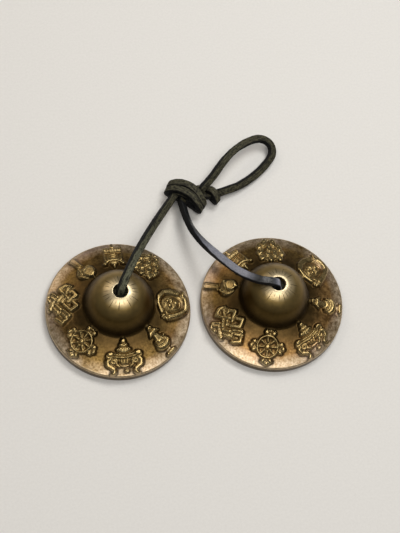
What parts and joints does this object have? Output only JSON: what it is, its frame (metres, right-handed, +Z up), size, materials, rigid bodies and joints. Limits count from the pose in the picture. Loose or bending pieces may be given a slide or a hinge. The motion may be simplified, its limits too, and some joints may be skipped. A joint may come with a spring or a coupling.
{
  "type": "tingsha cymbals",
  "caption": "Hand cymbals of cast brass with raised emblems round a domed centre, tied to the ends of a knotted leather thong and rung by striking their rims together.",
  "frame": {"origin": "on the table, midway between the axes of the two cymbals", "axes": "+X from the left cymbal's axis to the right one's, +Y towards the knot behind them, +Z up"},
  "size_m": [0.1348, 0.1182, 0.0287],
  "materials": {
    "cymbal_brass": "aged, polished on the raised parts and darkened in the recesses",
    "strap_leather": "waxed, dull"
  },
  "bodies": {
    "left_tie": {"strap_stop_knot_left": "strap_leather"},
    "left_cymbal": {"cymbal_left": "cymbal_brass"},
    "strap": {"strap_left_leg": "strap_leather", "strap_centre_knot": "strap_leather", "strap_loop": "strap_leather"},
    "right_leg": {"strap_right_leg": "strap_leather"},
    "right_tie": {"strap_stop_knot_right": "strap_leather"},
    "right_cymbal": {"cymbal_right": "cymbal_brass"}
  },
  "joints": [
    {"name": "left_cymbal_spin", "type": "hinge", "parent": "left_tie", "child": "left_cymbal", "pos_m": [-0.0349, 0, 0.02], "axis": [0, 0, 1], "continuous": true},
    {"name": "strap_swing", "type": "hinge", "parent": "left_tie", "child": "strap", "pos_m": [-0.0349, 0, 0.0255], "axis": [1, 0, 0], "range_deg": [0, 175], "deforming": ["strap_left_leg"]},
    {"name": "legs_open", "type": "hinge", "parent": "strap", "child": "right_leg", "pos_m": [-0.002, 0.0517, 0.0056], "axis": [0, 0, 1], "range_deg": [-4.2, 40]},
    {"name": "right_cymbal_tilt", "type": "hinge", "parent": "right_leg", "child": "right_tie", "pos_m": [0.0349, 0, 0.0255], "axis": [1, 0, 0], "range_deg": [-175, 0], "deforming": ["strap_right_leg"]},
    {"name": "right_cymbal_spin", "type": "hinge", "parent": "right_tie", "child": "right_cymbal", "pos_m": [0.0349, 0, 0.02], "axis": [0, 0, 1], "continuous": true}
  ],
  "couplings": [
    {"joint": "right_cymbal_tilt", "follows": "strap_swing", "ratio": -1}
  ]
}
